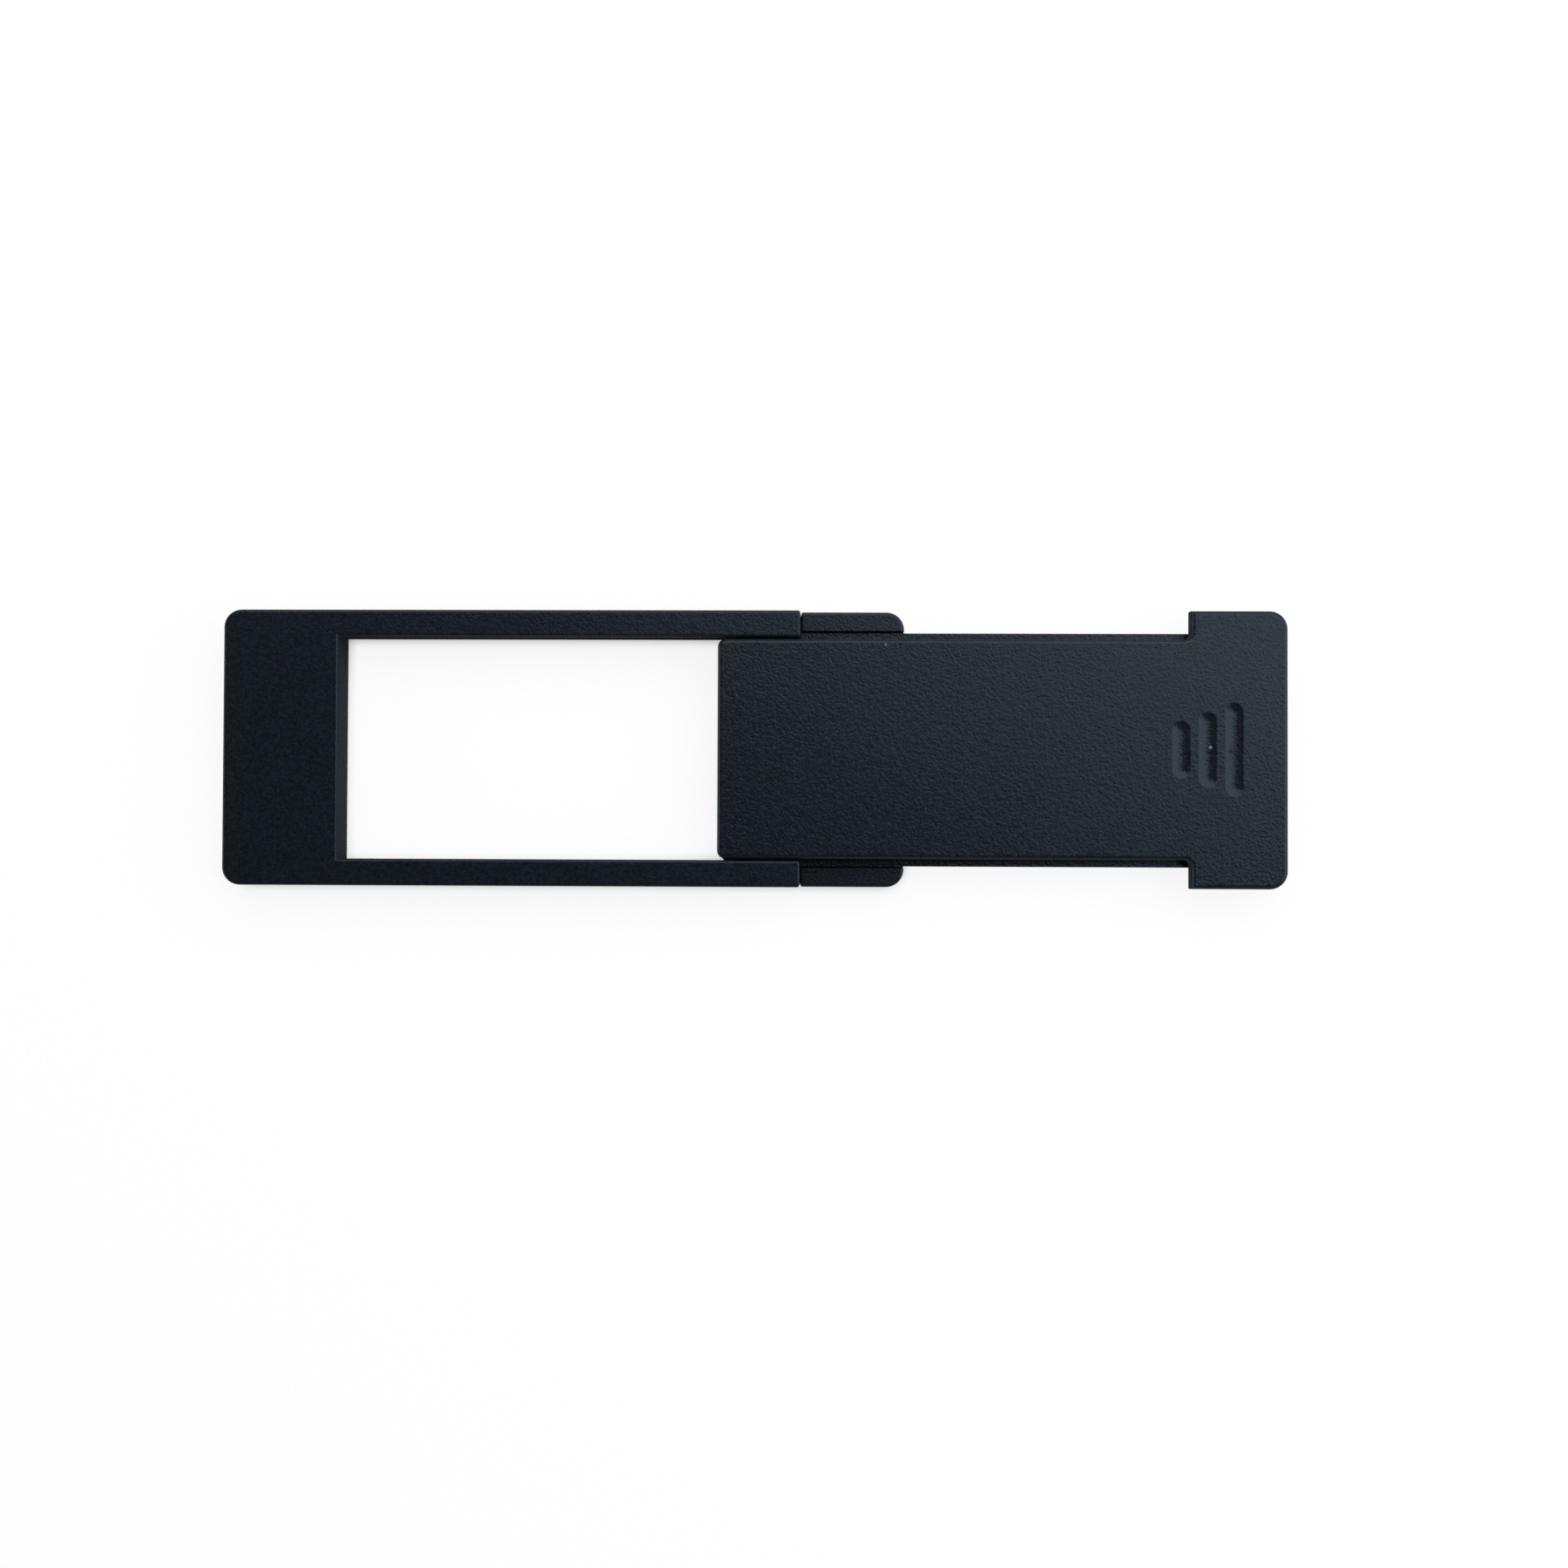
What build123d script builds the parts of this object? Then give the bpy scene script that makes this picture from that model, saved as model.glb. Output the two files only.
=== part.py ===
from build123d import *
import os

# Stick-on webcam cover with a sliding shutter, modelled open.
# Millimetres. X runs along the slide, from the block end (-X) to the grip tab (+X), Y across it,
# and Z up from the stuck-on side. The origin is the middle of the open cover's footprint.

# Frame, seen from above
FRAME_LENGTH = 34.6
FRAME_WIDTH = 14.0
FRAME_CORNER_RADIUS = 0.9
BLOCK_LENGTH = 5.85
BRIDGE_LENGTH = 8.6
SHOULDER_LENGTH = 5.25

# Frame, in section
SKIRT_THICKNESS = 0.45
WALL_THICKNESS = 0.47
FLOOR_THICKNESS = 0.5
LIP_DEPTH = 0.1
SHOULDER_RISE = 0.15
COVER_THICKNESS = 1.1
SEAM_LAP = 0.4
SEAM_NOTCH_WIDTH = 0.16
SEAM_NOTCH_DEPTH = 0.14

# Slider
FLANGE_OVERLAP = 0.27
FLANGE_THICKNESS = 0.4
FRONT_CORNER_RADIUS = 0.4
FLANGE_CORNER_RADIUS = 1.0
STOP_RIB_LENGTH = 0.7
STOP_RIB_SETBACK = 0.1
TAB_ROOT_RADIUS = 0.3

# Thumb grooves in the tab
GROOVE_COUNT = 3
GROOVE_WIDTH = 0.86
GROOVE_DEPTH = 0.1
GROOVE_PITCH = 1.335
LONGEST_GROOVE = 4.65
GROOVE_LENGTH_STEP = 0.9
LAST_GROOVE_TO_TAB_END = 2.7

# Adhesive pads
ADHESIVE_THICKNESS = 0.2
ADHESIVE_INSET = 0.5
ADHESIVE_CORNER_RADIUS = 0.6

# Fits and running clearances
COVER_FIT = 0.03
SEAM_GAP = 0.03
SIDE_CLEARANCE = 0.1
STEM_CLEARANCE = 0.12
HEIGHT_CLEARANCE = 0.05
STOP_CLEARANCE = 0.05
RIB_CLEARANCE = 0.1
TAB_GAP = 0.4

# Edge rounding
OUTER_EDGE_RADIUS = 0.15
INNER_EDGE_RADIUS = 0.1
SLIDER_EDGE_RADIUS = 0.22
GROOVE_RIM_RADIUS = 0.2

# How near an edge's middle has to be to a place for the edge to count as there
PICK_TOLERANCE = 0.001

# Widths across the slide
arm_width = SKIRT_THICKNESS + COVER_FIT + WALL_THICKNESS + SIDE_CLEARANCE + FLANGE_OVERLAP
window_width = FRAME_WIDTH - 2 * arm_width
stem_width = window_width - 2 * STEM_CLEARANCE
flange_width = window_width + 2 * FLANGE_OVERLAP
channel_width = flange_width + 2 * SIDE_CLEARANCE
base_width = channel_width + 2 * WALL_THICKNESS

# Levels above the surface that the cover is stuck to
base_bottom = ADHESIVE_THICKNESS
floor_top = base_bottom + FLOOR_THICKNESS
flange_bottom = floor_top + HEIGHT_CLEARANCE
flange_top = flange_bottom + FLANGE_THICKNESS
lip_bottom = flange_top + HEIGHT_CLEARANCE
wall_top = lip_bottom + LIP_DEPTH
shoulder_top = wall_top + SHOULDER_RISE
tab_bottom = shoulder_top + HEIGHT_CLEARANCE
cover_top = wall_top + COVER_THICKNESS
rib_bottom = base_bottom + RIB_CLEARANCE

# Places along the slide. The closed slider ends flush with the frame, and its rib sets the open stop.
slider_length = FRAME_LENGTH - BLOCK_LENGTH - STOP_CLEARANCE
rib_back = STOP_RIB_SETBACK + STOP_RIB_LENGTH
front_when_open = FRAME_LENGTH - BRIDGE_LENGTH - STOP_CLEARANCE - rib_back
frame_left = -(front_when_open + slider_length) / 2
frame_right = frame_left + FRAME_LENGTH
block_face = frame_left + BLOCK_LENGTH
bridge_edge = frame_right - BRIDGE_LENGTH
shoulder_start = frame_right - SHOULDER_LENGTH
arm_tip = shoulder_start - SEAM_GAP
slider_front = frame_left + front_when_open
slider_end = slider_front + slider_length
tab_face = slider_end - SHOULDER_LENGTH + TAB_GAP


def strip(x_start, x_end, width):
    """Flat rectangle between two places along the slide, centred across it."""
    return Pos((x_start + x_end) / 2, 0) * Rectangle(x_end - x_start, width)


def round_left_corners(outline, radius):
    """Round the corners of an outline at its -X end."""
    return fillet(outline.vertices().group_by(Axis.X)[0], radius)


def round_right_corners(outline, radius):
    """Round the corners of an outline at its +X end."""
    return fillet(outline.vertices().group_by(Axis.X)[-1], radius)


def raise_between(outline, bottom, top):
    """Extrude a flat outline from one level up to another."""
    return extrude(Pos(0, 0, bottom) * outline, top - bottom)


def lying_at(shapes, axis, place):
    """Keep the edges or corners whose middle is at one place along an axis."""
    return shapes.filter_by_position(axis, place - PICK_TOLERANCE, place + PICK_TOLERANCE)


def lying_on_both_sides(shapes, width):
    """Keep the edges whose middle is half a width to either side of the middle of the slide."""
    return lying_at(shapes, Axis.Y, -width / 2) + lying_at(shapes, Axis.Y, width / 2)


def seam_notches():
    """Cutters for the small upright V where each arm's tip meets a shoulder, on the outer sides."""
    half = SEAM_NOTCH_WIDTH / 2
    seam = (arm_tip + shoulder_start) / 2
    notch = Polygon((-half, 0), (0, -SEAM_NOTCH_DEPTH), (half, 0), align=None)
    far = Pos(seam, FRAME_WIDTH / 2) * notch
    near = Pos(seam, -FRAME_WIDTH / 2) * Rot(0, 0, 180) * notch
    return raise_between(far + near, base_bottom, cover_top)


def base_frame():
    """Lower half of the frame: block, walls with ledges, bridge, shoulders and a lap under the seams."""
    walls = strip(frame_left + SKIRT_THICKNESS + COVER_FIT, frame_right - FRAME_CORNER_RADIUS, base_width)
    walls = round_left_corners(walls, FRAME_CORNER_RADIUS - SKIRT_THICKNESS - COVER_FIT)
    ends = round_right_corners(strip(shoulder_start, frame_right, FRAME_WIDTH), FRAME_CORNER_RADIUS)
    lap = strip(shoulder_start - SEAM_LAP, shoulder_start, FRAME_WIDTH)
    base = raise_between(walls, base_bottom, wall_top)
    base += raise_between(ends, base_bottom, shoulder_top)
    base += raise_between(lap, base_bottom, floor_top)
    base -= raise_between(strip(block_face, frame_right, channel_width), floor_top, shoulder_top)
    base -= raise_between(strip(block_face, bridge_edge, window_width), base_bottom, floor_top)
    sides = lying_on_both_sides(lying_at(base.edges(), Axis.Z, shoulder_top), FRAME_WIDTH)
    base = fillet(sides, OUTER_EDGE_RADIUS)
    seams = lying_at(lying_at(base.edges(), Axis.Z, shoulder_top), Axis.X, shoulder_start)
    return fillet(seams, INNER_EDGE_RADIUS) - seam_notches()


def guide_cover():
    """Upper half of the frame: a U-shaped cap with an outer skirt and a lip along each arm."""
    outline = round_left_corners(strip(frame_left, arm_tip, FRAME_WIDTH), FRAME_CORNER_RADIUS)
    inside = strip(frame_left + SKIRT_THICKNESS, arm_tip, FRAME_WIDTH - 2 * SKIRT_THICKNESS)
    inside = round_left_corners(inside, FRAME_CORNER_RADIUS - SKIRT_THICKNESS)
    window = strip(block_face, arm_tip, window_width)
    lips = strip(block_face, arm_tip, channel_width - 2 * COVER_FIT) - window
    lap = strip(arm_tip - SEAM_LAP, arm_tip, FRAME_WIDTH)
    cover = raise_between(outline - window, wall_top, cover_top)
    cover += raise_between(outline - inside, base_bottom, wall_top)
    cover -= raise_between(lap, base_bottom, floor_top + COVER_FIT)
    cover += raise_between(lips, lip_bottom, wall_top)
    outer = lying_at(lying_at(cover.edges(), Axis.Z, cover_top), Axis.X, frame_left)
    cover = fillet(outer, OUTER_EDGE_RADIUS)
    top = lying_at(cover.edges(), Axis.Z, cover_top)
    inner = lying_at(top, Axis.X, block_face) + lying_on_both_sides(top, window_width)
    tips = lying_at(top, Axis.X, arm_tip)
    upright = lying_at(cover.edges().filter_by(Axis.Z), Axis.X, arm_tip)
    tip_corners = lying_on_both_sides(upright, window_width)
    return fillet(inner + tips + tip_corners, INNER_EDGE_RADIUS) - seam_notches()


def face_outline():
    """Outline of the raised shutter face and its grip tab, seen from above."""
    stem = round_left_corners(strip(slider_front, tab_face, stem_width), FRONT_CORNER_RADIUS)
    tab = round_right_corners(strip(tab_face, slider_end, FRAME_WIDTH), FRAME_CORNER_RADIUS)
    outline = stem + tab
    roots = lying_on_both_sides(lying_at(outline.vertices(), Axis.X, tab_face), stem_width)
    return fillet(roots, TAB_ROOT_RADIUS)


def thumb_groove(length):
    """Cutter for a round-bottomed groove across the slide, in a face at level zero."""
    cutter_radius = (GROOVE_WIDTH**2 / 4 + GROOVE_DEPTH**2) / (2 * GROOVE_DEPTH)
    straight = length - GROOVE_WIDTH
    cutter = Rot(90, 0, 0) * Cylinder(cutter_radius, straight)
    for end in (-straight / 2, straight / 2):
        cutter += Pos(0, end, 0) * Sphere(cutter_radius)
    return Pos(0, 0, cutter_radius - GROOVE_DEPTH) * cutter


def groove_rim(face, place, length):
    """Edges where one groove meets the top of the face."""
    half_width = GROOVE_WIDTH / 2 + PICK_TOLERANCE
    half_length = length / 2 + PICK_TOLERANCE
    rim = lying_at(face.edges(), Axis.Z, cover_top)
    rim = rim.filter_by_position(Axis.X, place - half_width, place + half_width)
    return rim.filter_by_position(Axis.Y, -half_length, half_length)


def grooved_face():
    """Raised face and tab above the shoulders' level, with rounded edges and thumb grooves."""
    face = raise_between(face_outline(), tab_bottom, cover_top)
    face = fillet(lying_at(face.edges(), Axis.Z, cover_top), SLIDER_EDGE_RADIUS)
    for index in range(GROOVE_COUNT):
        place = slider_end - LAST_GROOVE_TO_TAB_END - index * GROOVE_PITCH
        length = LONGEST_GROOVE - index * GROOVE_LENGTH_STEP
        face -= Pos(place, 0, cover_top) * thumb_groove(length)
        face = fillet(groove_rim(face, place, length), GROOVE_RIM_RADIUS)
    return face


def slider():
    """Shutter plate: foot flange under the lips, raised face between them, tab over the shoulders."""
    flange = round_left_corners(strip(slider_front, slider_end, flange_width), FLANGE_CORNER_RADIUS)
    stem = round_left_corners(strip(slider_front, slider_end, stem_width), FRONT_CORNER_RADIUS)
    stop_rib = strip(slider_front + STOP_RIB_SETBACK, slider_front + rib_back, stem_width)
    stop_rib = round_left_corners(stop_rib, FRONT_CORNER_RADIUS)
    shutter = raise_between(flange, flange_bottom, flange_top)
    shutter += raise_between(stem, flange_top, tab_bottom)
    shutter += raise_between(stop_rib, rib_bottom, flange_bottom)
    return shutter + grooved_face()


def adhesive_pad(x_start, x_end):
    """Die-cut pad, set in from the edges of the flat face that it covers."""
    outline = strip(x_start + ADHESIVE_INSET, x_end - ADHESIVE_INSET, base_width - 2 * ADHESIVE_INSET)
    return raise_between(fillet(outline.vertices(), ADHESIVE_CORNER_RADIUS), 0, ADHESIVE_THICKNESS)


pieces = {
    "base_frame": base_frame(),
    "guide_cover": guide_cover(),
    "slider": slider(),
    "adhesive_pad_block_end": adhesive_pad(frame_left + SKIRT_THICKNESS, block_face),
    "adhesive_pad_shoulder_end": adhesive_pad(bridge_edge, frame_right),
}

os.makedirs("parts", exist_ok=True)
for name, piece in pieces.items():
    export_step(piece, f"parts/{name}.step")
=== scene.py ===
import math

import bpy
from mathutils import Euler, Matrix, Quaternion, Vector

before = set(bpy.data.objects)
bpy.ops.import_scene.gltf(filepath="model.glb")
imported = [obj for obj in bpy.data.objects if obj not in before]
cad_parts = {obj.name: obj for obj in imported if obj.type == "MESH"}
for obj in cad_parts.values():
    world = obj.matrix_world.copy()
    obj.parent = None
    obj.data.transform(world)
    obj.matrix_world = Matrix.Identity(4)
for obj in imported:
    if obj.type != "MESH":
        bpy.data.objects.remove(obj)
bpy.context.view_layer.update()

MM = 0.001

# Camera, fitted to the cover's corners: it looks almost straight down from a hand's breadth above.
CAMERA_PLACE = Vector((3.69, -3.76, 100.04)) * MM
CAMERA_TURN_DEG = (1.16, 1.22, 0.23)
PHOTO_WIDTH_PX = 1800
FOCAL_LENGTH_PX = 2223
SENSOR_WIDTH_MM = 36
NEAREST_SEEN = 1 * MM
FARTHEST_SEEN = 10

# Studio, in metres. The horizon's top and the ceiling's start are heights of a direction, from 0 to 1.
FLOOR_SIZE = 4.0
SOFTBOX_PLACE = Vector((0.155, 0.152, 0.274))
SOFTBOX_ROLL_DEG = 18
SOFTBOX_WIDTH = 0.99
SOFTBOX_HEIGHT = 0.39
SOFTBOX_POWER_W = 3.27
HORIZON_LIGHT = 0.11
CEILING_LIGHT = 0.02
HORIZON_TOP = 0.12
CEILING_START = 0.58
FLOOR_GLOW = 0.88
FLOOR_GLOW_IN_REFLECTIONS = 0.25
# How far the painted shade in the gap under the cover reaches
PAINTED_GAP_SHADE_REACH = 0.5 * MM
BACKDROP_GLOW = 0.89

# Low lights round the horizon: direction, light, and the cosines where they start and are full
WINDOW = (Vector((-0.99, 0.0, 0.14)), 3.0, 0.8, 0.97)
NEAR_REFLECTOR = (Vector((0.50, -0.83, 0.25)), 0.35, 0.5, 0.92)

# Colours
WHITE = "#ffffff"
PAPER_WHITE = "#f6f6f6"
# The grain's two tones: partly a speckle in the pigment, partly painted shade that darkens the pits
GRAIN_PIT_SPECKLE_AND_PAINTED_SHADE = "#0a0e13"
GRAIN_PEAK_SPECKLE = "#171c22"
BLUISH_GLOSS = "#d1ebff"
TAPE_GLUE = "#d6d5cc"
TAPE_FIBRE = "#efeee8"

# Black ABS. Real spark-eroded grain is about half this size, and is drawn coarser to show.
GRAIN_SIZE = 0.13 * MM
GRAIN_DETAIL = 2.0
GRAIN_FINENESS = 0.55
FRAME_GRAIN_HEIGHT = 0.013 * MM
SLIDER_GRAIN_HEIGHT = 0.018 * MM
MOTTLE_SIZE = 2.4 * MM
MOTTLE_DETAIL = 3.0
MOTTLE_FINENESS = 0.6
FRAME_ROUGHNESS = 0.2225
SLIDER_ROUGHNESS = 0.1975
ROUGHNESS_SPREAD = 0.0125
ABS_IOR = 1.53
ABS_GLOSS = 0.22

# A noise texture's values lie round its middle, and hardly any of them past these two.
NOISE_LOW = 0.3
NOISE_MIDDLE = 0.5
NOISE_HIGH = 0.7

# How far a face looks up, as its normal's height: the underside has less grain, and steep faces are duller.
UNDERSIDE = -0.8
UNDERSIDE_END = -0.3
UNDERSIDE_GRAIN = 0.25
STEEP = 0.3
LEVEL = 0.97
STEEP_DULLNESS = 0.75

# Small marks on the slider: middle, radius, colour and how far they cover the grain
DUST_IN_GROOVE = (Vector((23.04, 0.13, 2.31)) * MM, 0.09 * MM, "#6c7078", 1.0)
DUST_ON_FACE = (Vector((6.71, 5.26, 2.40)) * MM, 0.08 * MM, "#54585f", 1.0)
# A dark spot in the tab: painted shade of a small nick
NICK_SHADE_PAINTED_IN_TAB = (Vector((25.18, 3.58, 2.40)) * MM, 0.08 * MM, "#0a0d11", 1.0)
SMUDGE_IN_GROOVE = (Vector((24.05, -0.07, 2.31)) * MM, 0.14 * MM, "#0a0d11", 0.9)
MARK_RAGGEDNESS = 0.06 * MM
MARK_DETAIL = 1.0
MARK_CORE_SHARE = 0.6
MARK_DULLNESS = 0.5

# Double-sided tape
FIBRE_SPACING = 0.16 * MM
FIBRE_HEIGHT = 0.006 * MM
FIBRE_DETAIL = 3.0
FIBRE_SWIRL = 2.5
TAPE_ROUGHNESS = 0.32
TAPE_IOR = 1.47


def linear(hex_colour):
    """An sRGB hex colour as linear RGBA."""
    channels = [int(hex_colour[place:place + 2], 16) / 255 for place in (1, 3, 5)]
    lit = [c / 12.92 if c <= 0.04045 else ((c + 0.055) / 1.055) ** 2.4 for c in channels]
    return (*lit, 1.0)


def add_node(tree, kind, inputs=None, **settings):
    """Add a node with its settings, and set or link its inputs."""
    node = tree.nodes.new(kind)
    for name, value in settings.items():
        setattr(node, name, value)
    for name, value in (inputs or {}).items():
        if isinstance(value, bpy.types.NodeSocket):
            tree.links.new(value, node.inputs[name])
        else:
            node.inputs[name].default_value = value
    return node


def new_material(name):
    """An empty node material, its tree and its output node."""
    material = bpy.data.materials.new(name)
    material.use_nodes = True
    material.node_tree.nodes.clear()
    output = material.node_tree.nodes.new("ShaderNodeOutputMaterial")
    return material, material.node_tree, output


def add_marks(tree, place, marks, colour, roughness):
    """Lay small matt spots with ragged edges over a colour and a roughness."""
    wander = add_node(
        tree, "ShaderNodeTexNoise",
        {"Vector": place, "Scale": 1 / MARK_RAGGEDNESS, "Detail": MARK_DETAIL},
    )
    ragged = add_node(
        tree, "ShaderNodeVectorMath",
        {0: wander.outputs["Color"], 1: (MARK_RAGGEDNESS,) * 3, 2: place},
        operation="MULTIPLY_ADD",
    )
    shift = Vector((NOISE_MIDDLE,) * 3) * MARK_RAGGEDNESS
    for middle, radius, hex_colour, opacity in marks:
        away = add_node(
            tree, "ShaderNodeVectorMath",
            {0: ragged.outputs["Vector"], 1: middle + shift},
            operation="DISTANCE",
        )
        cover = add_node(
            tree, "ShaderNodeMapRange",
            {
                "Value": away.outputs["Value"],
                "From Min": radius,
                "From Max": MARK_CORE_SHARE * radius,
                "To Max": opacity,
            },
        )
        colour = add_node(
            tree, "ShaderNodeMix",
            {"Factor": cover.outputs["Result"], "A": colour.outputs["Result"], "B": linear(hex_colour)},
            data_type="RGBA",
        )
        roughness = add_node(
            tree, "ShaderNodeMath",
            {0: cover.outputs["Result"], 1: MARK_DULLNESS, 2: roughness.outputs[0]},
            operation="MULTIPLY_ADD",
        )
    return colour, roughness


def spark_eroded_abs(name, grain_height, gloss_roughness, marks=()):
    """Black ABS moulded against a spark-eroded tool: matt, bluish black, with a fine even pebble that
    breaks the highlight, duller walls, and a smoother underside where the tool was only ground."""
    material, tree, output = new_material(name)
    coordinates = add_node(tree, "ShaderNodeTexCoord")
    place = coordinates.outputs["Object"]
    facing = add_node(tree, "ShaderNodeSeparateXYZ", {"Vector": coordinates.outputs["Normal"]})
    grain = add_node(
        tree, "ShaderNodeTexNoise",
        {"Vector": place, "Scale": 1 / GRAIN_SIZE, "Detail": GRAIN_DETAIL, "Roughness": GRAIN_FINENESS},
    )
    mottle = add_node(
        tree, "ShaderNodeTexNoise",
        {"Vector": place, "Scale": 1 / MOTTLE_SIZE, "Detail": MOTTLE_DETAIL, "Roughness": MOTTLE_FINENESS},
    )
    textured = add_node(
        tree, "ShaderNodeMapRange",
        {
            "Value": facing.outputs["Z"],
            "From Min": UNDERSIDE,
            "From Max": UNDERSIDE_END,
            "To Min": UNDERSIDE_GRAIN,
            "To Max": 1.0,
        },
    )
    bump = add_node(
        tree, "ShaderNodeBump",
        {"Strength": textured.outputs["Result"], "Distance": grain_height, "Height": grain.outputs["Fac"]},
    )
    height = add_node(
        tree, "ShaderNodeMapRange",
        {"Value": grain.outputs["Fac"], "From Min": NOISE_LOW, "From Max": NOISE_HIGH},
    )
    # Base colour follows the grain height: pigment speckle, plus painted shade in the pebble's pits
    colour = add_node(
        tree, "ShaderNodeMix",
        {"Factor": height.outputs["Result"], "A": linear(GRAIN_PIT_SPECKLE_AND_PAINTED_SHADE), "B": linear(GRAIN_PEAK_SPECKLE)},
        data_type="RGBA",
    )
    levelness = add_node(tree, "ShaderNodeMath", {0: facing.outputs["Z"]}, operation="ABSOLUTE")
    dullness = add_node(
        tree, "ShaderNodeMapRange",
        {
            "Value": levelness.outputs[0],
            "From Min": STEEP,
            "From Max": LEVEL,
            "To Min": STEEP_DULLNESS,
            "To Max": 0.0,
        },
    )
    polish = add_node(
        tree, "ShaderNodeMapRange",
        {
            "Value": mottle.outputs["Fac"],
            "From Min": NOISE_LOW,
            "From Max": NOISE_HIGH,
            "To Min": gloss_roughness - ROUGHNESS_SPREAD,
            "To Max": gloss_roughness + ROUGHNESS_SPREAD,
        },
    )
    roughness = add_node(
        tree, "ShaderNodeMath",
        {0: polish.outputs["Result"], 1: dullness.outputs["Result"]},
        operation="ADD",
    )
    if marks:
        colour, roughness = add_marks(tree, place, marks, colour, roughness)
    shader = add_node(
        tree, "ShaderNodeBsdfPrincipled",
        {
            "Base Color": colour.outputs["Result"],
            "Roughness": roughness.outputs[0],
            "Normal": bump.outputs["Normal"],
            "IOR": ABS_IOR,
            "Specular IOR Level": ABS_GLOSS,
            "Specular Tint": linear(BLUISH_GLOSS),
        },
    )
    tree.links.new(shader.outputs["BSDF"], output.inputs["Surface"])
    return material


def acrylic_tape():
    """Double-sided acrylic tape: milky tissue fibres under a tacky, softly shiny skin of glue."""
    material, tree, output = new_material("double_sided_acrylic_tape")
    coordinates = add_node(tree, "ShaderNodeTexCoord")
    fibres = add_node(
        tree, "ShaderNodeTexNoise",
        {
            "Vector": coordinates.outputs["Object"],
            "Scale": 1 / FIBRE_SPACING,
            "Detail": FIBRE_DETAIL,
            "Distortion": FIBRE_SWIRL,
        },
    )
    bump = add_node(
        tree, "ShaderNodeBump",
        {"Distance": FIBRE_HEIGHT, "Height": fibres.outputs["Fac"]},
    )
    colour = add_node(
        tree, "ShaderNodeMix",
        {"Factor": fibres.outputs["Fac"], "A": linear(TAPE_GLUE), "B": linear(TAPE_FIBRE)},
        data_type="RGBA",
    )
    shader = add_node(
        tree, "ShaderNodeBsdfPrincipled",
        {
            "Base Color": colour.outputs["Result"],
            "Roughness": TAPE_ROUGHNESS,
            "IOR": TAPE_IOR,
            "Normal": bump.outputs["Normal"],
        },
    )
    tree.links.new(shader.outputs["BSDF"], output.inputs["Surface"])
    return material


def white_paper():
    """Smooth matt white paper, which keeps the shadow. It shows the camera most of its own white, and none of
    it in the thin gap under the cover, where ambient occlusion takes the glow away as painted shade."""
    material, tree, output = new_material("white_paper")
    ray = add_node(tree, "ShaderNodeLightPath")
    mirrored = add_node(
        tree, "ShaderNodeMath",
        {0: ray.outputs["Is Glossy Ray"], 1: ray.outputs["Is Transmission Ray"]},
        operation="MAXIMUM",
    )
    dim = add_node(
        tree, "ShaderNodeMath",
        {0: mirrored.outputs[0], 1: FLOOR_GLOW_IN_REFLECTIONS},
        operation="MULTIPLY",
    )
    # Ambient occlusion takes the floor's glow away under and right beside the cover: painted shade in the gap
    openness = add_node(tree, "ShaderNodeAmbientOcclusion", {"Distance": PAINTED_GAP_SHADE_REACH})
    glow_less_painted_gap_shade = add_node(
        tree, "ShaderNodeMath",
        {0: openness.outputs["AO"], 1: FLOOR_GLOW},
        operation="MULTIPLY",
    )
    share = add_node(
        tree, "ShaderNodeMath",
        {0: ray.outputs["Is Camera Ray"], 1: glow_less_painted_gap_shade.outputs[0], 2: dim.outputs[0]},
        operation="MULTIPLY_ADD",
    )
    matt = add_node(tree, "ShaderNodeBsdfDiffuse", {"Color": linear(PAPER_WHITE)})
    glow = add_node(tree, "ShaderNodeEmission", {"Color": linear(WHITE), "Strength": 1.0})
    mixed = add_node(
        tree, "ShaderNodeMixShader",
        {0: share.outputs[0], 1: matt.outputs["BSDF"], 2: glow.outputs["Emission"]},
    )
    tree.links.new(mixed.outputs["Shader"], output.inputs["Surface"])
    return material


def give(node_name, material):
    """Dress one CAD node in a material."""
    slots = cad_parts[node_name].data.materials
    slots.clear()
    slots.append(material)


def add_floor():
    """A wide sheet of white paper under the cover."""
    half = FLOOR_SIZE / 2
    mesh = bpy.data.meshes.new("floor")
    corners = [(-half, -half, 0), (half, -half, 0), (half, half, 0), (-half, half, 0)]
    mesh.from_pydata(corners, [], [(0, 1, 2, 3)])
    mesh.materials.append(white_paper())
    floor = bpy.data.objects.new("floor", mesh)
    bpy.context.scene.collection.objects.link(floor)


def add_softbox():
    """One long softbox above the grip tab's far corner, aimed at the cover and rolled about its aim."""
    lamp = bpy.data.lights.new("softbox", "AREA")
    lamp.shape = "RECTANGLE"
    lamp.size = SOFTBOX_WIDTH
    lamp.size_y = SOFTBOX_HEIGHT
    lamp.energy = SOFTBOX_POWER_W
    softbox = bpy.data.objects.new("softbox", lamp)
    softbox.location = SOFTBOX_PLACE
    aim = (-SOFTBOX_PLACE).to_track_quat("-Z", "Y")
    roll = Quaternion((0, 0, 1), math.radians(SOFTBOX_ROLL_DEG))
    softbox.rotation_euler = (aim @ roll).to_euler()
    bpy.context.scene.collection.objects.link(softbox)


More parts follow.
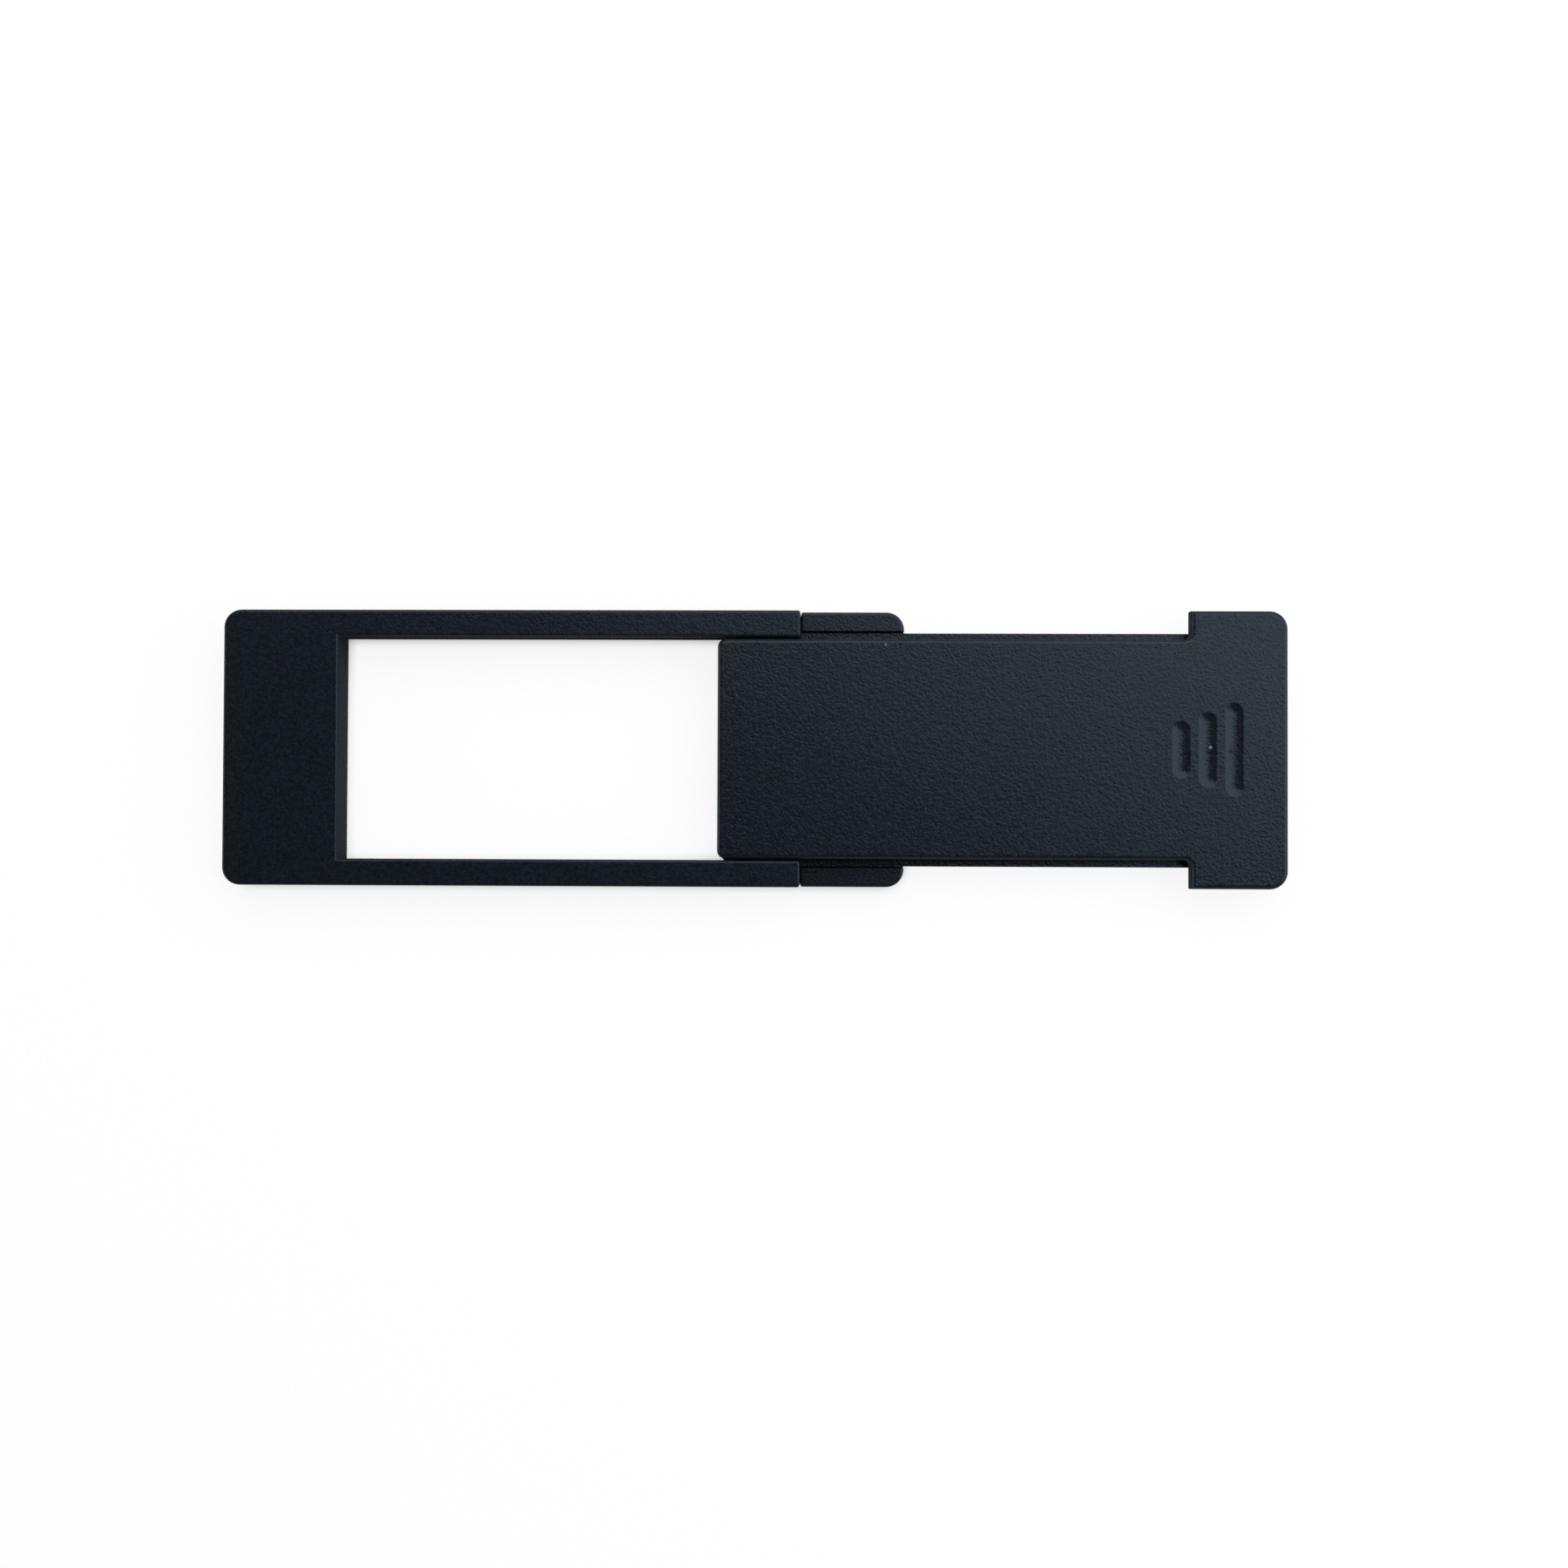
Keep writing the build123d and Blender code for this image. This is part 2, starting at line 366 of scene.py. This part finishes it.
def add_room_light():
    """Pale walls round the horizon under a dim ceiling, with a soft window low beyond the block and a wide
    reflector low on the near side. The camera itself sees a plain pale backdrop behind the floor."""
    world = bpy.data.worlds.new("studio")
    world.use_nodes = True
    tree = world.node_tree
    tree.nodes.clear()
    direction = add_node(tree, "ShaderNodeTexCoord")
    height = add_node(tree, "ShaderNodeSeparateXYZ", {"Vector": direction.outputs["Generated"]})
    walls = add_node(
        tree, "ShaderNodeMapRange",
        {
            "Value": height.outputs["Z"],
            "From Min": HORIZON_TOP,
            "From Max": CEILING_START,
            "To Min": HORIZON_LIGHT,
            "To Max": CEILING_LIGHT,
        },
        interpolation_type="SMOOTHSTEP",
    )
    room = walls.outputs["Result"]
    for towards, strength, edge, core in (WINDOW, NEAR_REFLECTOR):
        nearness = add_node(
            tree, "ShaderNodeVectorMath",
            {0: direction.outputs["Generated"], 1: towards},
            operation="DOT_PRODUCT",
        )
        low_light = add_node(
            tree, "ShaderNodeMapRange",
            {"Value": nearness.outputs["Value"], "From Min": edge, "From Max": core, "To Max": strength},
            interpolation_type="SMOOTHSTEP",
        )
        brighter = add_node(
            tree, "ShaderNodeMath",
            {0: room, 1: low_light.outputs["Result"]},
            operation="ADD",
        )
        room = brighter.outputs[0]
    ray = add_node(tree, "ShaderNodeLightPath")
    seen = add_node(
        tree, "ShaderNodeMix",
        {"Factor": ray.outputs["Is Camera Ray"], "A": room, "B": BACKDROP_GLOW},
    )
    light = add_node(
        tree, "ShaderNodeBackground",
        {"Color": linear(WHITE), "Strength": seen.outputs["Result"]},
    )
    add_node(tree, "ShaderNodeOutputWorld", {"Surface": light.outputs["Background"]})
    bpy.context.scene.world = world


def add_camera():
    """The photograph's camera."""
    lens = bpy.data.cameras.new("camera")
    lens.sensor_width = SENSOR_WIDTH_MM
    lens.lens = SENSOR_WIDTH_MM * FOCAL_LENGTH_PX / PHOTO_WIDTH_PX
    lens.clip_start = NEAREST_SEEN
    lens.clip_end = FARTHEST_SEEN
    camera = bpy.data.objects.new("camera", lens)
    camera.location = CAMERA_PLACE
    camera.rotation_euler = Euler([math.radians(turn) for turn in CAMERA_TURN_DEG])
    bpy.context.scene.collection.objects.link(camera)
    bpy.context.scene.camera = camera


abs_plastic = spark_eroded_abs("black_abs_spark_eroded", FRAME_GRAIN_HEIGHT, FRAME_ROUGHNESS)
handled_abs = spark_eroded_abs(
    "black_abs_spark_eroded_marked", SLIDER_GRAIN_HEIGHT, SLIDER_ROUGHNESS,
    (DUST_IN_GROOVE, DUST_ON_FACE, NICK_SHADE_PAINTED_IN_TAB, SMUDGE_IN_GROOVE),
)
tape = acrylic_tape()
give("base_frame", abs_plastic)
give("guide_cover", abs_plastic)
give("slider", handled_abs)
for pad in ("adhesive_pad_block_end", "adhesive_pad_shoulder_end"):
    give(pad, tape)

add_floor()
add_softbox()
add_room_light()
add_camera()
bpy.context.scene.view_settings.view_transform = "Standard"
